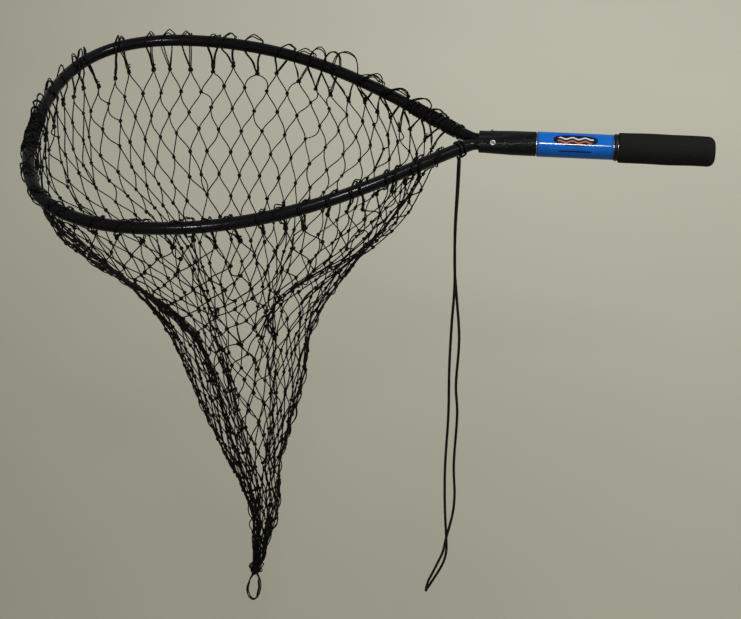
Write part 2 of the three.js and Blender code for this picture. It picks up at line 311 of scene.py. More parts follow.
class Look:
    """A material whose node tree is built by small calls."""

    def __init__(self, name, color, roughness, metallic=0.0, specular=0.5):
        self.material = bpy.data.materials.new(name)
        self.material.use_nodes = True
        self.tree = self.material.node_tree
        self.shader = self.tree.nodes["Principled BSDF"]
        self.shader.inputs["Base Color"].default_value = (*color, 1)
        self.shader.inputs["Roughness"].default_value = roughness
        self.shader.inputs["Metallic"].default_value = metallic
        self.shader.inputs["Specular IOR Level"].default_value = specular
        self.material.diffuse_color = (*color, 1)

    def node(self, kind, **settings):
        made = self.tree.nodes.new("ShaderNode" + kind)
        inputs = settings.pop("inputs", {})
        for key, value in settings.items():
            setattr(made, key, value)
        for key, value in inputs.items():
            if hasattr(value, "links"):
                self.tree.links.new(value, made.inputs[key])
            else:
                made.inputs[key].default_value = value
        return made

    def link(self, output, socket):
        self.tree.links.new(output, self.shader.inputs[socket])

    def coords(self, kind="Object"):
        return self.node("TexCoord").outputs[kind]

    def math(self, operation, a, b=0.0):
        return self.node("Math", operation=operation, inputs={0: a, 1: b}).outputs[0]

    def noise(self, scale, detail=4.0, roughness=0.5, vector=None):
        return self.node("TexNoise", inputs={
            "Vector": vector or self.coords(), "Scale": scale, "Detail": detail, "Roughness": roughness,
        }).outputs["Fac"]

    def ramp(self, factor, stops):
        made = self.node("ValToRGB", inputs={"Fac": factor})
        elements = made.color_ramp.elements
        while len(elements) < len(stops):
            elements.new(0.5)
        for element, (position, value) in zip(elements, stops):
            element.position = position
            element.color = (*value, 1)
        return made.outputs["Color"]

    def spread(self, factor, low, high):
        return self.node("MapRange", inputs={"Value": factor, "To Min": low, "To Max": high}).outputs[0]

    def surface(self, grain, stops, smooth, rough):
        """Colour and roughness that both follow one grain."""
        self.link(self.ramp(grain, stops), "Base Color")
        self.link(self.spread(grain, smooth, rough), "Roughness")

    def mix(self, factor, a, b):
        made = self.node("Mix", data_type="RGBA")
        for key, value in ((0, factor), (6, a), (7, b)):
            if hasattr(value, "links"):
                self.tree.links.new(value, made.inputs[key])
            else:
                made.inputs[key].default_value = value if key == 0 else (*value, 1)
        return made.outputs[2]

    def bump(self, height, distance, strength=1.0):
        made = self.node("Bump", inputs={"Height": height, "Distance": distance, "Strength": strength})
        self.link(made.outputs["Normal"], "Normal")


def painted_tube_look():
    look = Look("painted_tube", (0.0015, 0.0015, 0.0017), 0.18, specular=0.15)
    broad = look.noise(45)
    fine = look.noise(900, 6, 0.7)
    look.link(look.ramp(fine, [(0.3, (0.0010, 0.0010, 0.0013)), (0.62, (0.0019, 0.0018, 0.0019)),
                               (0.80, (0.008, 0.0075, 0.006))]), "Base Color")
    look.link(look.spread(broad, 0.13, 0.24), "Roughness")
    look.bump(fine, 0.00006, 0.5)
    return look.material


def hatched_look():
    look = Look("hatched_sleeve", (0.0014, 0.0016, 0.0018), 0.2, specular=0.12)
    dust = look.noise(260, 5, 0.6)
    look.surface(dust, [(0.35, (0.0007, 0.0008, 0.0010)), (0.82, (0.005, 0.006, 0.006))], 0.12, 0.22)
    look.bump(look.noise(1500, 3), 0.00004, 0.4)
    return look.material


def label_look():
    """Glossy blue film with a generic motif: a dark oval with two wavy stripes, and a short bar."""
    look = Look("label_film", (0.002, 0.056, 0.23), 0.15, specular=0.20)
    split = look.node("SeparateXYZ", inputs={"Vector": look.coords()})
    x, y, z = split.outputs
    low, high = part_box("label_sleeve")
    rim = 0.0014  # width of the darker band at each end
    bearing = look.math("ARCTAN2", z, y)
    along = look.math("SUBTRACT", x, (low[0] + high[0]) / 2)

    def across(degrees):
        """How far round the film from a bearing, where 90 is straight up and 180 is the near side."""
        return look.math("MULTIPLY", look.math("SUBTRACT", bearing, math.radians(degrees)), LABEL_R)

    def patch(over, length, height, power):
        one = look.math("POWER", look.math("ABSOLUTE", look.math("DIVIDE", along, length)), power)
        two = look.math("POWER", look.math("ABSOLUTE", look.math("DIVIDE", over, height)), power)
        return look.math("LESS_THAN", look.math("ADD", one, two), 1.0)

    def stripe(over, height, half):
        wave = look.math("MULTIPLY", look.math("SINE", look.math("MULTIPLY", along, 480.0)), 0.0010)
        off = look.math("ABSOLUTE", look.math("SUBTRACT", look.math("SUBTRACT", over, wave), height))
        return look.math("LESS_THAN", off, half)

    upper = across(122)
    core = patch(upper, 0.0225, 0.0064, 2.4)
    blues = [(0.3, (0.0010, 0.052, 0.225)), (0.7, (0.0020, 0.066, 0.265))]
    color = look.ramp(look.noise(60, 2), blues)
    color = look.mix(core, color, (0.003, 0.004, 0.012))
    inner = patch(upper, 0.0185, 0.0052, 2.4)
    for height, paint in ((0.0020, (0.24, 0.075, 0.030)), (-0.0018, (0.30, 0.31, 0.33))):
        color = look.mix(look.math("MULTIPLY", inner, stripe(upper, height, 0.0008)), color, paint)
    color = look.mix(patch(across(176), 0.0170, 0.0010, 4.0), color, (0.001, 0.010, 0.045))
    edge = look.math("GREATER_THAN", look.math("ABSOLUTE", along), (high[0] - low[0]) / 2 - rim)
    color = look.mix(edge, color, (0.006, 0.030, 0.12))
    look.link(color, "Base Color")
    look.link(look.spread(look.noise(120, 4), 0.11, 0.16), "Roughness")
    look.bump(look.noise(90, 2), 0.00005, 0.2)
    return look.material


def foam_look():
    look = Look("foam", (0.0060, 0.0060, 0.0050), 0.9, specular=0.10)
    cells = look.node("TexVoronoi", inputs={"Vector": look.coords(), "Scale": 1400.0}).outputs["Distance"]
    grain = look.noise(420, 8, 0.75)
    look.surface(grain, [(0.3, (0.0030, 0.0030, 0.0025)), (0.7, (0.0064, 0.0064, 0.0052))], 0.78, 0.98)
    look.bump(look.math("ADD", look.math("MULTIPLY", cells, 0.6), grain), 0.00022, 0.7)
    return look.material


def plastic_look(name, color, roughness):
    look = Look(name, color, roughness, specular=0.2)
    grain = look.noise(700, 4, 0.6)
    dark = tuple(0.75 * c for c in color)
    light = tuple(1.4 * c for c in color)
    look.surface(grain, [(0.3, dark), (0.7, light)], roughness - 0.07, roughness + 0.1)
    look.bump(grain, 0.00005, 0.4)
    return look.material


def metal_look(name, color, roughness):
    look = Look(name, color, roughness, 1.0)
    grain = look.noise(650, 6, 0.7)
    dark = tuple(0.6 * c for c in color)
    look.surface(grain, [(0.25, dark), (0.6, color)], roughness - 0.06, roughness + 0.14)
    look.bump(grain, 0.00003, 0.5)
    return look.material


def lay_of(look, strands, pitch):
    """How far the strands of a cord have turned round it, and along it, at each point of its surface."""
    split = look.node("SeparateXYZ", inputs={"Vector": look.coords("UV")})
    turn = look.math("MULTIPLY", split.outputs[0], 2 * math.pi * strands)
    return turn, look.math("MULTIPLY", split.outputs[1], 2 * math.pi / pitch)


def twine_look():
    look = Look("twine", (0.0018, 0.0018, 0.0015), 0.6, specular=0.10)
    phase = look.math("ADD", *lay_of(look, 3, 0.0042))
    lay = look.math("ABSOLUTE", look.math("SINE", look.math("MULTIPLY", phase, 0.5)))
    tar = look.noise(500, 5, 0.7)
    look.surface(tar, [(0.35, (0.0010, 0.0010, 0.0008)), (0.72, (0.0042, 0.0040, 0.0032))], 0.48, 0.75)
    look.bump(lay, 0.00022, 0.8)
    return look.material


def braided_look():
    look = Look("braided_cord", (0.0018, 0.0020, 0.0026), 0.6, specular=0.12)
    turn, run = lay_of(look, 5, 0.0036)
    one = look.math("SINE", look.math("ADD", turn, run))
    two = look.math("SINE", look.math("SUBTRACT", turn, run))
    plait = look.math("MULTIPLY", one, two)
    fuzz = look.noise(900, 5, 0.7)
    look.surface(fuzz, [(0.3, (0.0011, 0.0012, 0.0016)), (0.7, (0.0045, 0.0048, 0.0058))], 0.5, 0.72)
    look.bump(plait, 0.00018, 0.8)
    return look.material


# ---- camera, light and stage ----

def make_camera():
    """Looks down on the net from its near side, a little to the throat's side."""
    yaw, pitch, roll = (math.radians(a) for a in (4.027, 36.573, 0.394))
    distance = 2.2625
    target = Vector((-0.302, 0.0, -0.2211))
    forward = Vector((-math.sin(yaw) * math.cos(pitch), math.cos(yaw) * math.cos(pitch), -math.sin(pitch)))
    level = Vector((math.cos(yaw), math.sin(yaw), 0.0))
    up = level.cross(forward)
    right = level * math.cos(roll) + up * math.sin(roll)
    up = up * math.cos(roll) - level * math.sin(roll)
    data = bpy.data.cameras.new("camera")
    data.sensor_width = 36.0
    data.lens = 100.68
    data.clip_end = 50.0
    camera = bpy.data.objects.new("camera", data)
    camera.matrix_world = Matrix((
        (right.x, up.x, -forward.x, 0), (right.y, up.y, -forward.y, 0),
        (right.z, up.z, -forward.z, 0), (0, 0, 0, 1),
    ))
    camera.location = target - forward * distance
    bpy.context.scene.collection.objects.link(camera)
    bpy.context.scene.camera = camera


def make_light(name, location, aim, size, power, color=WHITE, in_gloss=True):
    data = bpy.data.lights.new(name, "AREA")
    data.shape = "RECTANGLE"
    data.size, data.size_y = size
    data.energy = power
    data.color = color
    light = bpy.data.objects.new(name, data)
    light.location = location
    light.rotation_euler = (Vector(aim) - Vector(location)).to_track_quat("-Z", "Y").to_euler()
    light.visible_glossy = in_gloss
    bpy.context.scene.collection.objects.link(light)


def make_stage():
    floor_z = CAD_BOX[0][2] - 0.62
    half = 9.0
    corners = [(x * half, y * half, floor_z) for x, y in ((-1, -1), (1, -1), (1, 1), (-1, 1))]
    mesh = bpy.data.meshes.new("floor")
    mesh.from_pydata(corners, [], [(0, 1, 2, 3)])
    floor = bpy.data.objects.new("floor", mesh)
    bpy.context.scene.collection.objects.link(floor)
    look = Look("floor", (0.192, 0.184, 0.141), 0.95, specular=0.1)
    cloud = look.noise(1.2, 3)
    paints = [(0.3, (0.187, 0.179, 0.137)), (0.7, (0.197, 0.189, 0.145))]
    look.link(look.ramp(cloud, paints), "Base Color")
    floor.data.materials.append(look.material)

    scene = bpy.context.scene
    scene.view_settings.view_transform = "Standard"
    world = bpy.data.worlds.new("world")
    scene.world = world
    world.use_nodes = True
    back = world.node_tree.nodes["Background"]
    back.inputs["Color"].default_value = (*WHITE, 1)
    back.inputs["Strength"].default_value = 0.30
    make_light("key", (-0.05, -1.95, 1.78), (-0.25, 0.0, -0.2), (0.26, 0.14), 30)
    make_light("side_glint", (1.06, -0.24, 1.69), (-0.35, -0.1, 0.0), (0.2, 0.2), 20)
    # These three light the floor, and don't show in the net's gloss.
    for name, location, aim, side, power, color in (
        ("overhead", (0.77, -0.42, 2.03), (0.64, -0.07, floor_z), 2.0, 68, WHITE),
        ("far_floor", (-0.8, -4.9, 2.0), (-0.8, -5.6, floor_z), 2.6, 170, (0.95, 0.96, 1.0)),
        ("backdrop", (0.12, 2.67, 1.03), (0.46, 3.45, floor_z), 2.3, 152, (0.90, 0.93, 1.0)),
    ):
        make_light(name, location, aim, (side, side), power, color, in_gloss=False)


# ---- the lanyard ----

def make_lanyard(look):
    sides = 14
    line = smooth_line(LANYARD_ROUTE, 620)
    braid = tubes("lanyard_cord_braid", line[None], CORD_R, sides)
    cord = place(braid, None, look, "elastic", "lanyard_cord")
    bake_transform(cord)

    axis = np.array([math.cos(LEG_ANGLE), math.sin(LEG_ANGLE), 0.0])
    outward = np.array([math.sin(LEG_ANGLE), -math.cos(LEG_ANGLE), 0.0])
    tight_r = 0.72 * CORD_R  # the cord is thinner where it is pulled tight
    snug = TUBE_R + 0.0001 + tight_r
    apart = np.array([0, 0, 0.0004])  # from the cord's ends up to the hitch's

    def at(along, degrees, radius):
        turn = math.radians(degrees)
        return HITCH + axis * along + radius * (outward * math.cos(turn) + UP * math.sin(turn))

    def half_of(side, start):
        """From the hanging strand, up behind the leg, over it and down the front to the bight."""
        route = (
            (0.0015, -112, 0.0002), (0.0016, -150, 0), (0.0018, -190, 0), (0.0021, -230, 0),
            (0.0024, -270, 0), (0.0027, -315, 0), (0.0029, -350, 0), (0.0029, -380, 0),
            (0.0026, -400, 0.0002), (0.0018, -412, 0.0006),
        )
        turns = [at(side * along, degrees, snug + rise) for along, degrees, rise in route]
        return [start, at(side * 0.0015, -95, 0.0100)] + turns

    first = half_of(-1, line[0] + apart)
    second = half_of(1, line[-1] + apart)
    bight = smooth_line(first + [at(0.0, -418, snug + 0.0010)] + second[::-1], 220)
    turns = tubes("lanyard_hitch_turns", bight[None], tight_r, sides)
    hitch = place(turns, "hitch", look, "elastic", "lanyard_hitch")


# ---- hoop and handle ----

def bezier(points, count):
    t = np.linspace(0, 1, count)[:, None]
    a, b, c, d = (np.asarray(p, float) for p in points)
    return (1 - t) ** 3 * a + 3 * (1 - t) ** 2 * t * b + 3 * (1 - t) * t ** 2 * c + t ** 3 * d


def half_hoop(count=400):
    """One half of the centreline, from the neck to the tip, as x and distance from the middle."""
    widest_x, tip_x = THROAT_X - WIDEST, THROAT_X - HOOP_LENGTH
    leg = bezier([
        (NECK_X, NECK_Y),
        (NECK_X - 0.0886 * math.cos(LEG_ANGLE), NECK_Y + 0.0886 * math.sin(LEG_ANGLE)),
        (widest_x + 0.1457, HOOP_HALF_WIDTH), (widest_x, HOOP_HALF_WIDTH),
    ], count)
    bow = bezier([
        (widest_x, HOOP_HALF_WIDTH), (widest_x - 0.1146, HOOP_HALF_WIDTH), (tip_x, 0.095), (tip_x, 0.0),
    ], count)
    return np.vstack([leg, bow[1:]])


def neck_and_shank():
    bend_x = THROAT_X + 0.012
    neck = bezier([
        (bend_x, SHANK_Y), (bend_x - 0.009, SHANK_Y),
        (NECK_X + 0.008 * math.cos(LEG_ANGLE), NECK_Y - 0.008 * math.sin(LEG_ANGLE)), (NECK_X, NECK_Y),
    ], 40)
    return np.vstack([[THROAT_X + 0.040, SHANK_Y], neck])


def mirrored(half):
    """The whole line from the near end round to the far end."""
    flat = np.vstack([half * [1, -1], half[::-1][1:]])
    return np.column_stack([flat, np.zeros(len(flat))])


HOOP_LINE = evenly(mirrored(half_hoop()), 1400)


def make_hoop(look):
    half = np.vstack([neck_and_shank()[:-1], half_hoop()])
    line = evenly(mirrored(half), 520)
    share = np.clip((line[:, 0] - (THROAT_X - 0.007)) / 0.012, 0, 1)
    radius = TUBE_R * (1 - (1 - SHANK_SCALE) * eased(share))
    place(tubes("hoop", line[None], radius[None], 36), "frame", look, "painted_tube", "hoop_tube")


def oval_radius(x):
    """Bore of the handle's mouth, as in the CAD: narrow at the throat and round at the label."""
    return np.interp(x, [THROAT_X + 0.014, THROAT_X + 0.066], [0.00595, 0.0101])


def oval_spread(x):
    half = np.interp(x, [THROAT_X + 0.042, THROAT_X + 0.066], [SHANK_Y + 0.00595, 0.0101])
    return np.maximum(0.0, half - oval_radius(x))


def make_throat_sleeve(look):
    """Cross-hatched sleeve, shrunk into the groove between the shanks."""
    start, end = THROAT_X + 0.008, SLEEVE_END
    edge = 0.0009
    hatch_pitch = 0.0031
    hatch_height = 0.00030
    skin = 0.0022  # from the bore to the outside of the sleeve

    def shape(x, angle, inset):
        radius = oval_radius(x) + skin - inset
        spread = oval_spread(x)
        lean = np.cos(angle)
        y = radius * lean + spread * np.clip(2 * lean, -1, 1)
        z = radius * np.sin(angle)
        groove = 0.0011 * np.clip((THROAT_X + 0.046 - x) / 0.038, 0, 1)
        z = z * (1 - groove / radius * np.exp(-(y / 0.0030) ** 2))
        run = angle * 0.0125
        one = np.abs(((x + run) / hatch_pitch) % 1 - 0.5) * 2
        two = np.abs(((x - run) / hatch_pitch) % 1 - 0.5) * 2
        ridge = np.maximum(one, two) ** 4
        lift = np.where(inset < 1e-6, hatch_height * ridge, 0.0)
        return y + lift * lean, z + lift * np.sin(angle)

    quarter = np.linspace(0, np.pi / 2, 5)
    left = [(start + edge * (1 - math.sin(q)), edge * (1 - math.cos(q))) for q in quarter[::-1]]
    right = [(end - edge * (1 - math.sin(q)), edge * (1 - math.cos(q))) for q in quarter]
    body = [(x, 0.0) for x in np.linspace(start + edge, end - edge, 200)]
    place(turned("hatched_sleeve", left[:-1] + body + right[1:], 300, shape), "frame", look,
          "textured_sleeve", "throat_sleeve")


def make_label(look):
    low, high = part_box("label_sleeve")
    profile = rounded(low[0] + 0.0001, high[0] - 0.0001, LABEL_R, 0.0004)
    middle = np.linspace(profile[4][0], profile[5][0], 30)[1:-1]
    profile = profile[:5] + [(x, LABEL_R) for x in middle] + profile[5:]
    place(turned("label_film", profile, 96), "frame", look, "label", "label_sleeve")


def make_collar(look):
    low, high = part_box("grip_collar")
    profile = rounded(low[0], high[0], high[2], 0.0013, 6)
    place(turned("collar_ring", profile, 96), "frame", look, "black_plastic", "grip_collar")


def make_grip(look):
    low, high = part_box("foam_grip")
    radius = high[2]
    lip, corner = 0.0014, 0.0075  # roundings at the collar and at the butt
    start, end = low[0], high[0]
    quarter = np.linspace(0, np.pi / 2, 12)
    profile = [(start, radius - 0.0022)]
    profile += [(start + lip * (1 - math.cos(q)), radius - lip + lip * math.sin(q)) for q in quarter[::3]]
    profile += [(x, radius) for x in np.linspace(start + 0.004, end - corner, 60)]
    centre_x, centre_r = end - corner, radius - corner
    profile += [(centre_x + corner * math.sin(q), centre_r + corner * math.cos(q)) for q in quarter[1:]]
    profile += [(end, r) for r in (0.006, 0.0045, 0.003)]

    def press(x, angle, r):
        """Soft dents and waves of a grip that has been held."""
        wave = 0.00016 * np.sin(70 * x + 2 * angle) + 0.00012 * np.sin(131 * x - 3 * angle + 1.0)
        r = r + wave * np.clip(r / radius, 0, 1)
        return r * np.cos(angle), r * np.sin(angle)

    place(turned("foam_sleeve", profile, 128, press), "frame", look, "foam", "foam_grip")


def make_rivets(look):
    reach = float(oval_radius(RIVET_X)) + 0.0022
    for name, side in (("near", -1), ("far", 1)):
        bulge = np.linspace(0, np.pi, 9)
        profile = [(-0.0003, 0.0024), (0.0, 0.0030)]
        profile += [(0.0002 + 0.0012 * math.sin(q), 0.0021 + 0.0009 * math.cos(q)) for q in bulge]
        profile += [(0.0, 0.0010), (-0.0001, 0.0003)]
        head = turned("rivet_head_" + name, profile, 32)
        direction = Vector((0, side * math.cos(math.pi / 4), math.sin(math.pi / 4)))
        turn = direction.to_track_quat("X", "Z").to_matrix().to_4x4()
        foot = Vector((RIVET_X, side * float(oval_spread(RIVET_X)), 0)) + direction * (reach + 0.0001)
        head.data.transform(Matrix.Translation(foot) @ turn)
        place(head, "frame", look, "rivet", "rivet_" + name)


# ---- the bag ----

def knot_rows(counts):
    """Joins row to row. Returns bars (upper knot, lower knot, side), and each knot's row and turn."""
    draw = np.random.default_rng(3)
    turns = [(np.arange(counts[0]) + 0.5) / counts[0]]
    bars = []
    base = 0
    for row in range(1, len(counts)):
        count = counts[row - 1]
        drop = count - counts[row]
        taken = np.zeros(count, bool)  # knots whose two bars end in one knot below, which narrows the bag
        if drop:
            taken[((np.arange(drop) + draw.uniform(0, 1)) * count / drop).astype(int) % count] = True
        order = (int(np.argmax(~taken)) + np.arange(count)) % count
        group = np.zeros(count, int)
        reached = -1
        for place_in_row, knot in enumerate(order):
            if place_in_row == 0 or not taken[knot]:
                reached += 1
            group[knot] = reached
        turn = turns[-1]
        half_way = turn + np.mod(np.roll(turn, -1) - turn, 1) / 2
        lower = np.zeros(reached + 1)
        for one in range(reached + 1):
            members = [knot for knot in order if group[knot] == one]
            first, last = half_way[members[0]], half_way[members[-1]]
            lower[one] = ((first + last + (1 if last < first - 0.5 else 0)) / 2) % 1
        rank = np.empty(reached + 1, int)
        rank[np.argsort(lower)] = np.arange(reached + 1)
        below = base + count
        for knot in range(count):
            bars.append((base + knot, below + rank[group[knot]], 1))
            bars.append((base + knot, below + rank[group[(knot - 1) % count]], 0))
        turns.append(np.sort(lower))
        base = below
    rows = np.concatenate([np.full(len(turn), row) for row, turn in enumerate(turns)])
    return np.array(bars), rows, np.concatenate(turns)


def gathered(bearing, depth):
    """Where each strand lies round the bag, folded lower down, and its share of the full reach."""
    grow = eased(np.clip((depth - 0.10) / 0.35, 0, 1))
    strand = bearing.copy()
    valley = np.zeros_like(bearing)
    for centre, spread, pull in FOLDS:
        off = turn_from(bearing, centre)
        near = np.exp(-(off / spread) ** 2)
        strand = strand - grow * pull * off * near
        valley = np.maximum(valley, near)
    return strand, 1 - 0.26 * grow * valley


def hang_bag():
    """Lets the knots fall from the hoop. Anchors on the tube come first, then the knots row by row."""
    draw = np.random.default_rng(11)
    share = np.arange(BAG_ROWS + 1) / BAG_ROWS
    counts = np.rint(HEADING_MESHES + (FOOT_MESHES - HEADING_MESHES) * share ** 1.15).astype(int)
    bars, rows, turn = knot_rows(counts)
    top = HEADING_MESHES
    tie = np.stack([np.arange(top), top + np.arange(top), np.zeros(top, int)], 1)
    bars = np.vstack([tie, bars + [top, top, 0]])
    rows = np.concatenate([np.zeros(top, int), rows + 1])
    turn = np.concatenate([turn[:top], turn])
    count = len(rows)
    anchors = rows == 0

    # The meshes stand closer round the tip and at the throat, and are a little uneven everywhere.
    crowd = turn + 0.12 * np.sin(4 * np.pi * (turn - 0.25)) / (4 * np.pi)
    jitter = draw.uniform(-0.22, 0.22, top) / top
    crowd = crowd + np.concatenate([jitter, jitter, np.zeros(count - 2 * top)])
    end = len(HOOP_LINE) - 1
    spot = HOOP_LINE[np.clip((0.018 + 0.964 * crowd) * end, 0, end).astype(int)]
    middle = np.array([THROAT_X - 0.252, 0.0, 0.0])
    inset = (spot + unit(middle - spot) * 0.006)[:, :2]

    depth = np.clip((rows - 1) / BAG_ROWS, 0, 1)
    bearing = np.arctan2(-spot[:, 1], spot[:, 0] - middle[0])
    strand, pleat = gathered(bearing, depth)
    slack_side = np.exp(-(turn_from(strand, 2.45) / 0.62) ** 2)
    slack_front = np.exp(-(turn_from(strand, 0.75) / 0.55) ** 2)

    def wall(height):
        z = BAG_LEVELS[:, 0]
        back = np.interp(height, z, BAG_LEVELS[:, 1]) + THROAT_X
        front = np.interp(height, z, BAG_LEVELS[:, 2]) + THROAT_X
        half = np.interp(height, z, BAG_LEVELS[:, 3])
        slim = 1 - np.interp(height, SLACK_SIDE[:, 0], SLACK_SIDE[:, 1]) * slack_side
        slim = slim - np.interp(height, SLACK_FRONT[:, 0], SLACK_FRONT[:, 1]) * slack_front
        reach = pleat * slim
        x = (back + front) / 2 + (front - back) / 2 * reach * np.cos(strand)
        flat = np.stack([x, -half * reach * np.sin(strand)], 1)
        near_hoop = np.clip((height + 0.095) / 0.080, 0, 1)[:, None]
        return flat * (1 - near_hoop) + inset * near_hoop

    drop = np.where(turn[:top] < 0.47, 0.023, 0.030) + draw.uniform(-0.006, 0.006, top)
    point = np.zeros((count, 3))
    point[:, 2] = np.where(anchors, 0.0, -0.028 + (FOOT[2] + 0.028) * depth)
    point[:, :2] = wall(point[:, 2])
    point[anchors] = spot[anchors]
    point[~anchors] += draw.normal(0, 0.002, (count - top, 3))
    slack = BAR * (1 + draw.uniform(-0.05, 0.05, len(bars)))
    slack[:top] = drop
    fixed = point[anchors].copy()
    last = rows == BAG_ROWS + 1

    groups = []
    for parity in (0, 1):
        for side in (0, 1):
            chosen = np.where((rows[bars[:, 0]] % 2 == parity) & (bars[:, 2] == side))[0]
            upper, lower = bars[chosen, 0], bars[chosen, 1]
            shared = np.bincount(lower, minlength=count)[lower]
            moves = (rows[upper] > 0).astype(float)
            groups.append((upper, lower, slack[chosen], (moves / (moves + 1))[:, None],
                           (1 / (moves + 1) / shared)[:, None]))
    rings = []
    for row in range(2, BAG_ROWS + 2):
        rings.append((np.where(rows == row)[0], np.where(np.abs(rows - row) <= 1)[0]))

    pace = np.zeros_like(point)
    steps, settle = 800, 40
    top_pace = 0.004  # the most movement that a knot carries into the next step
    # How close knots may lie, which is closer where the bag is drawn together.
    clear = np.interp(rows, [BAG_ROWS - 5, BAG_ROWS + 1], [0.0032, 0.0017])
    for step in range(steps):
        settling = step >= steps - settle
        keep, fall, pull = (0.5, 0.00001, 0.03) if settling else (0.95, 0.00006, 0.14)
        pace *= keep
        pace[:, 2] -= fall
        moved = point + pace
        moved[:, :2] += (wall(moved[:, 2]) - moved[:, :2]) * pull
        moved[anchors] = fixed
        for _ in range(6):
            for upper, lower, length, up_share, down_share in groups:
                gap = moved[lower] - moved[upper]
                span = np.sqrt((gap * gap).sum(1))
                gap *= (np.maximum(0, span - length) / np.maximum(span, 1e-9))[:, None]
                moved[upper] += gap * up_share
                np.subtract.at(moved, lower, gap * down_share)
        moved[last, :2] += (FOOT[:2] - moved[last, :2]) * 0.25
        moved[last, 2] = np.clip(moved[last, 2], FOOT[2] - 0.003, FOOT[2] + 0.008)
        if step % 4 == 0:
            for mine, others in rings:
                away = moved[mine][:, None] - moved[others][None]
                span = np.sqrt((away * away).sum(2))
                room = clear[mine[0]]
                touching = (span < room) & (span > 1e-9)
                if touching.any():
                    push = (away / np.maximum(span, 1e-9)[..., None]
                            * ((room - span) * 0.3 * touching)[..., None]).sum(1)
                    push[:, 2] *= 0.2
                    moved[mine] += np.clip(push, -0.0015, 0.0015)
        moved[:, 2] = np.maximum(moved[:, 2], FOOT[2] - 0.003)
        pace = moved - point
        pace *= np.minimum(1, top_pace / np.maximum(np.linalg.norm(pace, axis=1, keepdims=True), 1e-12))
        point = moved
    return point, bars, rows, slack


def fall_lines(point, bars):
    """The way the twine runs through each knot, downwards along the wall of the bag."""
    flow = np.zeros_like(point)
    along = unit(point[bars[:, 1]] - point[bars[:, 0]])
    np.add.at(flow, bars[:, 0], along)
    np.add.at(flow, bars[:, 1], along)
    return unit(flow + np.array([0, 0, -1e-3]))


def knot_template():
    """A sheet bend as two tilted turns of twine. The flow of the net is local Z."""
    sides, steps = 6, 12
    twine_r = 0.00078
    turn = 2 * np.pi * np.arange(steps) / steps
    around = 2 * np.pi * np.arange(sides) / sides
    verts, quads = [], []
    for number, (tilt, lift) in enumerate(((0.62, 0.0005), (-0.55, -0.0005))):
        centre = np.stack([0.00125 * np.cos(turn), 0.00120 * np.sin(turn), np.zeros(steps)], 1)
        outward = unit(centre)
        ring = (centre[:, None] + twine_r * (outward[:, None] * np.cos(around)[:, None]
                + UP * np.sin(around)[:, None])).reshape(-1, 3)
        cos, sin = math.cos(tilt), math.sin(tilt)
        lean = np.array([[1, 0, 0], [0, cos, -sin], [0, sin, cos]])
        verts.append(ring @ lean.T + [0, 0, lift])
        step, corner = np.indices((steps, sides))
        after, beside = (step + 1) % steps, (corner + 1) % sides
        quads.append((np.stack([step * sides + corner, after * sides + corner,
                                after * sides + beside, step * sides + beside], -1).reshape(-1, 4)
                      + number * steps * sides))
    return np.concatenate(verts), np.concatenate(quads)


def knots(name, places, flow, outward, size):
    """A knot at each place, standing along the flow. size scales it across, through and along."""
    template, quads = knot_template()
    across = unit(np.cross(outward, flow))
    facing = np.cross(flow, across)
    basis = np.stack([across, facing, flow], 2)
    verts = np.einsum("nij,nvj->nvi", basis, template[None] * size[:, None]) + places[:, None]
    every = quads[None] + (np.arange(len(places)) * len(template))[:, None, None]
    patch = np.array([[0, 0], [0, 0.0012], [0.16, 0.0012], [0.16, 0]])
    uv = np.tile(patch, (every.shape[0] * every.shape[1], 1))
    return mesh_object(name, verts.reshape(-1, 3), every.reshape(-1, 4), None, uv)


def bar_lines(point, bars, flow, slack, outward, draw):
    """The curve of each bar: it leaves and meets its knots along the fall of the net."""
    upper, lower = point[bars[:, 0]], point[bars[:, 1]]
    gap = lower - upper
    span = np.linalg.norm(gap, axis=1, keepdims=True)
    start = unit(0.5 * gap / span + 0.5 * flow[bars[:, 0]]) * span
    end = unit(0.5 * gap / span + 0.5 * flow[bars[:, 1]]) * span
    t = np.linspace(0, 1, 9)[None, :, None]
    line = ((2 * t ** 3 - 3 * t ** 2 + 1) * upper[:, None] + (t ** 3 - 2 * t ** 2 + t) * start[:, None]
            + (-2 * t ** 3 + 3 * t ** 2) * lower[:, None] + (t ** 3 - t ** 2) * end[:, None])
    spare = np.sqrt(np.maximum(slack[:, None] ** 2 - span ** 2, 0))
    bow = np.minimum(0.30 * spare, 0.005) + 0.0004
    way = unit(outward[bars[:, 0]] * draw.uniform(-0.5, 1, (len(bars), 1))
               + draw.normal(0, 0.5, (len(bars), 3)) + np.array([0, 0, -0.35]))
    way = unit(way - (way * gap).sum(1, keepdims=True) * gap / span ** 2)
    return line + np.sin(np.pi * t) * (bow * way)[:, None]


def away_from_spine(point):
    middle = np.interp(point[:, 2], SPINE[:, 0], SPINE[:, 1])
    return unit(point - np.stack([middle, 0 * middle, point[:, 2]], 1))


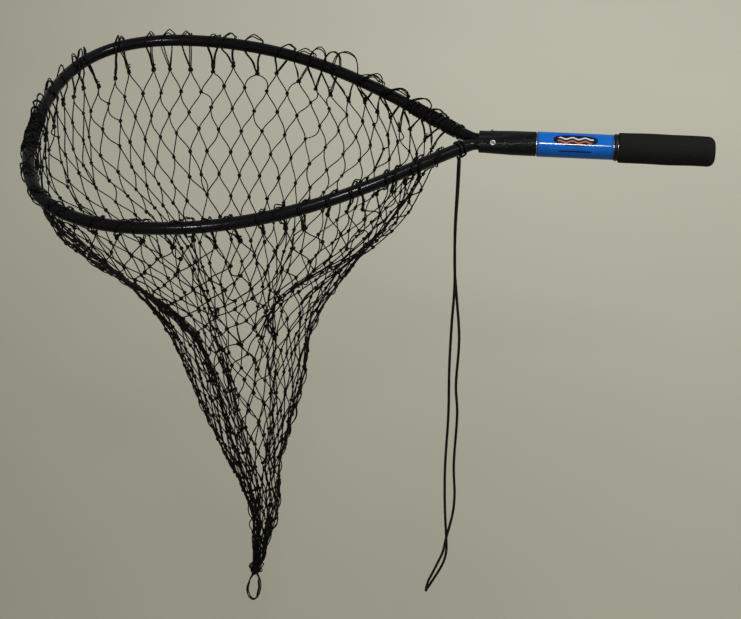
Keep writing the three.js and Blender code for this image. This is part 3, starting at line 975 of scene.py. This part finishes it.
def make_bag(look):
    point, bars, rows, slack = hang_bag()
    top = HEADING_MESHES
    flow = fall_lines(point, bars)
    outward = away_from_spine(point)
    draw = np.random.default_rng(5)

    lines = bar_lines(point, bars, flow, slack, outward, draw)
    mesh_bars = np.arange(len(bars)) >= top
    upper_part = rows[bars[:, 0]] <= UPPER_ROWS
    for name, chosen in (("net_upper", mesh_bars & upper_part), ("net_lower", mesh_bars & ~upper_part)):
        place(tubes(name, lines[chosen], TWINE_R, 6), "frame", look, "twine", "bag_body")
    size = draw.uniform(0.95, 1.25, (len(point), 3)) * np.where(rows == 1, 1.2, 1.0)[:, None]
    upper_knots = (rows > 0) & (rows <= UPPER_ROWS)
    for name, chosen in (("knots_upper", upper_knots), ("knots_lower", rows > UPPER_ROWS)):
        made = knots(name, point[chosen], flow[chosen], outward[chosen], size[chosen])
        place(made, "frame", look, "twine", "bag_body")
    make_heading(look, point[:top], point[top: 2 * top], outward[top: 2 * top])
    make_closing(look, point[rows == BAG_ROWS + 1])


# The loops over the tube. Each row: share of the way round from the near leg by the tip to the far leg,
# height over the tube's centre, half width along the tube, half width across it, lean along the tube.
HEADING_SHAPE = np.array([
    [0.00, 0.012, 0.0060, 0.0026, 0.000], [0.20, 0.010, 0.0080, 0.0026, 0.003],
    [0.40, 0.011, 0.0060, 0.0035, 0.002], [0.46, 0.014, 0.0040, 0.0052, 0.000],
    [0.54, 0.0145, 0.0040, 0.0055, 0.000], [0.60, 0.0155, 0.0050, 0.0050, 0.001],
    [0.64, 0.0125, 0.0055, 0.0040, 0.001], [0.68, 0.0100, 0.0060, 0.0030, 0.002],
    [0.74, 0.0110, 0.0070, 0.0026, 0.002], [0.78, 0.0200, 0.0085, 0.0024, 0.003],
    [0.86, 0.0210, 0.0110, 0.0024, 0.007], [0.92, 0.0165, 0.0115, 0.0024, 0.009],
    [0.96, 0.0125, 0.0095, 0.0024, 0.007], [1.00, 0.0095, 0.0070, 0.0024, 0.004],
])


def make_heading(look, anchors, tied, outward):
    """Doubled loops of twine over the tube, one for each top mesh. Some are lashed above their knot."""
    draw = np.random.default_rng(21)
    index = np.array([np.argmin(((HOOP_LINE - a) ** 2).sum(1)) for a in anchors])
    end = len(HOOP_LINE) - 1
    along = unit(HOOP_LINE[np.clip(index + 3, 0, end)] - HOOP_LINE[np.clip(index - 3, 0, None)])
    tuck = TUBE_R + 0.0012
    loops, lashings = [], []
    for number, (centre, knot, run) in enumerate(zip(anchors, tied, along)):
        share = index[number] / end
        stand, width, open_way, lean = (
            np.interp(share, HEADING_SHAPE[:, 0], column) for column in HEADING_SHAPE.T[1:])
        if share > 0.76:
            stand *= draw.choice([0.7, 0.95, 1.1, 1.2])  # some are pulled down, some stand up
        stand = max(stand * draw.uniform(0.82, 1.18), tuck + 0.0012)
        width *= draw.uniform(0.6, 1.25)
        skew = draw.uniform(-0.010, 0.010)  # the tube is crossed to one side of the knot
        open_way *= draw.uniform(0.8, 1.2)
        lean += draw.uniform(-0.005, 0.005)
        pinch = draw.uniform(0.25, 0.75)  # how far down the two legs stay apart
        rise = unit(centre - knot)
        through = unit(np.cross(run, rise))
        if np.dot(through, outward[number]) < 0:
            through = -through
        drop = np.linalg.norm(centre - knot)
        twist = draw.uniform(-1.2, 1.2)
        for strand in (0, 1):
            shift = (strand - 0.5) * 0.0021
            tall = stand + draw.uniform(-0.0018, 0.0022)
            wide = width * draw.uniform(0.82, 1.2)

            def spot(t, q, m):
                """A point t half widths along the tube, q above its centre and m through the loop."""
                sway = lean * np.clip(q / 0.015, 0, 1.4) + shift * 0.6 + skew * np.clip(1 + q / drop, 0, 1)
                return centre + run * (t * wide + sway) + rise * q + through * m

            leg = [
                (0.16, -0.82 * drop, 0.0010 + 0.5 * shift),
                (0.5 * pinch, -0.64 * drop, 0.0012 + 0.0016 * pinch - 0.4 * shift * twist),
                (0.8 * pinch, -0.42 * drop, tuck * 0.62), (0.70, -0.0055, tuck * 0.98),
                (0.95, 0.0012, tuck + 0.0003), (1.0, 0.0068, tuck * 0.78),
            ]
            crown = [
                (0.74, tall - 0.0038, open_way), (0.05, tall, shift * 0.8),
                (-0.70, tall - 0.0041, -open_way),
            ]
            other_leg = [(-t, q, -m) for t, q, m in reversed(leg)]
            path = [spot(*step) for step in leg + crown + other_leg]
            first, last = knot + run * shift * 0.3, knot - run * shift * 0.3 + outward[number] * 0.0006
            loops.append(smooth_line([first, *path, last], 36))
        if draw.uniform() < (0.5 if share > 0.55 else 0.2):
            low, high = draw.uniform(0.70, 0.84), draw.uniform(0.92, 0.98)
            reach = np.linspace(low, high, 30)[:, None] * drop
            turns = draw.uniform(1.4, 2.8)
            phase = np.linspace(0, 2 * np.pi * turns, 30)[:, None] + draw.uniform(0, 6)
            girth = 0.0014 + 0.0003 * draw.uniform()
            lashings.append(centre - rise * reach + girth * (run * np.cos(phase) + through * np.sin(phase)))
    swept = [sweep(np.array(loops), TWINE_R, 6), sweep(np.array(lashings), TWINE_R, 6)]
    place(join_sweeps("heading_loops", swept), "frame", look, "twine", "bag_heading")
    make_wraps(look)


def make_wraps(look):
    """The spare meshes, wound close and lumpy round the far leg at the throat and round the tip."""
    draw = np.random.default_rng(33)
    lines = []
    spacing = np.linalg.norm(HOOP_LINE[1] - HOOP_LINE[0])
    total = spacing * (len(HOOP_LINE) - 1)
    throat = (total - 0.001, total - 0.078, 14, 0.0008)
    tip = (total * 0.455, total * 0.510, 11, 0.0013)
    for start, end, turns, lump in (throat, tip):
        for strand in (0, 1):
            count = 26 * turns
            reach = np.linspace(start, end, count)
            number = np.clip((reach / spacing).astype(int), 0, len(HOOP_LINE) - 6)
            ahead = unit(HOOP_LINE[number + 5] - HOOP_LINE[number])
            across = np.stack([-ahead[:, 1], ahead[:, 0], 0 * reach], 1)
            pace = turns * (0.8 + 0.2 * strand)
            run = np.linspace(0, 1, count)
            uneven = run + 0.022 * np.sin(2 * np.pi * 3.3 * run + 2.0 * strand)
            turn = 2 * np.pi * pace * uneven + 2.1 * strand
            bulge = np.interp(run, np.linspace(0, 1, 2 * turns), draw.uniform(0, 1, 2 * turns))
            radius = TUBE_R + 0.0004 + 0.0004 * strand
            radius = radius + lump * bulge * (0.6 + 0.4 * np.sin(turn + strand))
            ring = across * np.cos(turn)[:, None] + UP * np.sin(turn)[:, None]
            lines.append(evenly(HOOP_LINE[number] + ring * radius[:, None], 260))
    place(tubes("heading_wraps", np.array(lines), TWINE_R * 1.05, 6), "frame", look, "twine", "bag_heading")


def make_closing(look, last):
    """The turns that draw the last meshes together, and the long open loop under them."""
    x, z = FOOT[0], last[:, 2].min() - 0.002
    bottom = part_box("closing_loop")[0][2] + 0.0008
    lines = []
    for number in range(3):
        turn = np.linspace(0, 2 * np.pi, 40)
        radius = 0.0040 - 0.0005 * abs(number - 1)
        height = z + 0.0018 - 0.0019 * number + 0.0008 * np.sin(turn + number)
        lines.append(np.stack([x + 0.0015 + radius * np.cos(turn), radius * np.sin(turn), height], 1))
    for bulge, lift, deep in ((0.0, 0.0, -0.0010), (0.0013, 0.0018, 0.0009), (0.0026, 0.0006, 0.0)):
        top, end = z + 0.008, bottom + lift
        left = x - 0.0098 + 0.6 * bulge
        right = x + 0.0072 - bulge
        path = [
            (x + 0.0016, deep, top), (x + 0.0002, deep, z - 0.002), (x - 0.0045, 1.5 * deep, z - 0.011),
            (left + 0.0012, deep, z - 0.023), (left, deep, end + 0.017), (left + 0.0016, deep, end + 0.007),
            (x - 0.0046, 0.5 * deep, end + 0.0012), (x - 0.0022, 0, end),
            (x + 0.0012, -0.5 * deep, end + 0.0022), (right - 0.0020, -deep, end + 0.010),
            (right, -deep, end + 0.021), (right - 0.0002, -1.5 * deep, z - 0.018),
            (x + 0.0052, -deep, z - 0.009), (x + 0.0026, -deep, z - 0.002), (x + 0.0020, -deep, top),
        ]
        lines.append(smooth_line(path, 70))
    swept = [sweep(evenly(np.asarray(line), 70)[None], TWINE_R * 1.15, 6) for line in lines]
    place(join_sweeps("foot_turns_and_loop", swept), "frame", look, "twine", "closing_loop")


# ---- everything ----

def dress(node, look):
    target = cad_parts[node]
    target.data.materials.clear()
    target.data.materials.append(look)


make_camera()
make_lanyard(braided_look())
make_stage()

make_hoop(painted_tube_look())
make_throat_sleeve(hatched_look())
make_label(label_look())
black = plastic_look("black_plastic", (0.0022, 0.0022, 0.0025), 0.4)
make_collar(black)
make_grip(foam_look())
make_rivets(metal_look("rivet_metal", (0.60, 0.61, 0.62), 0.34))
dress("handle_tube", metal_look("drawn_tube", (0.62, 0.63, 0.65), 0.32))
dress("butt_plug", black)
make_bag(twine_look())
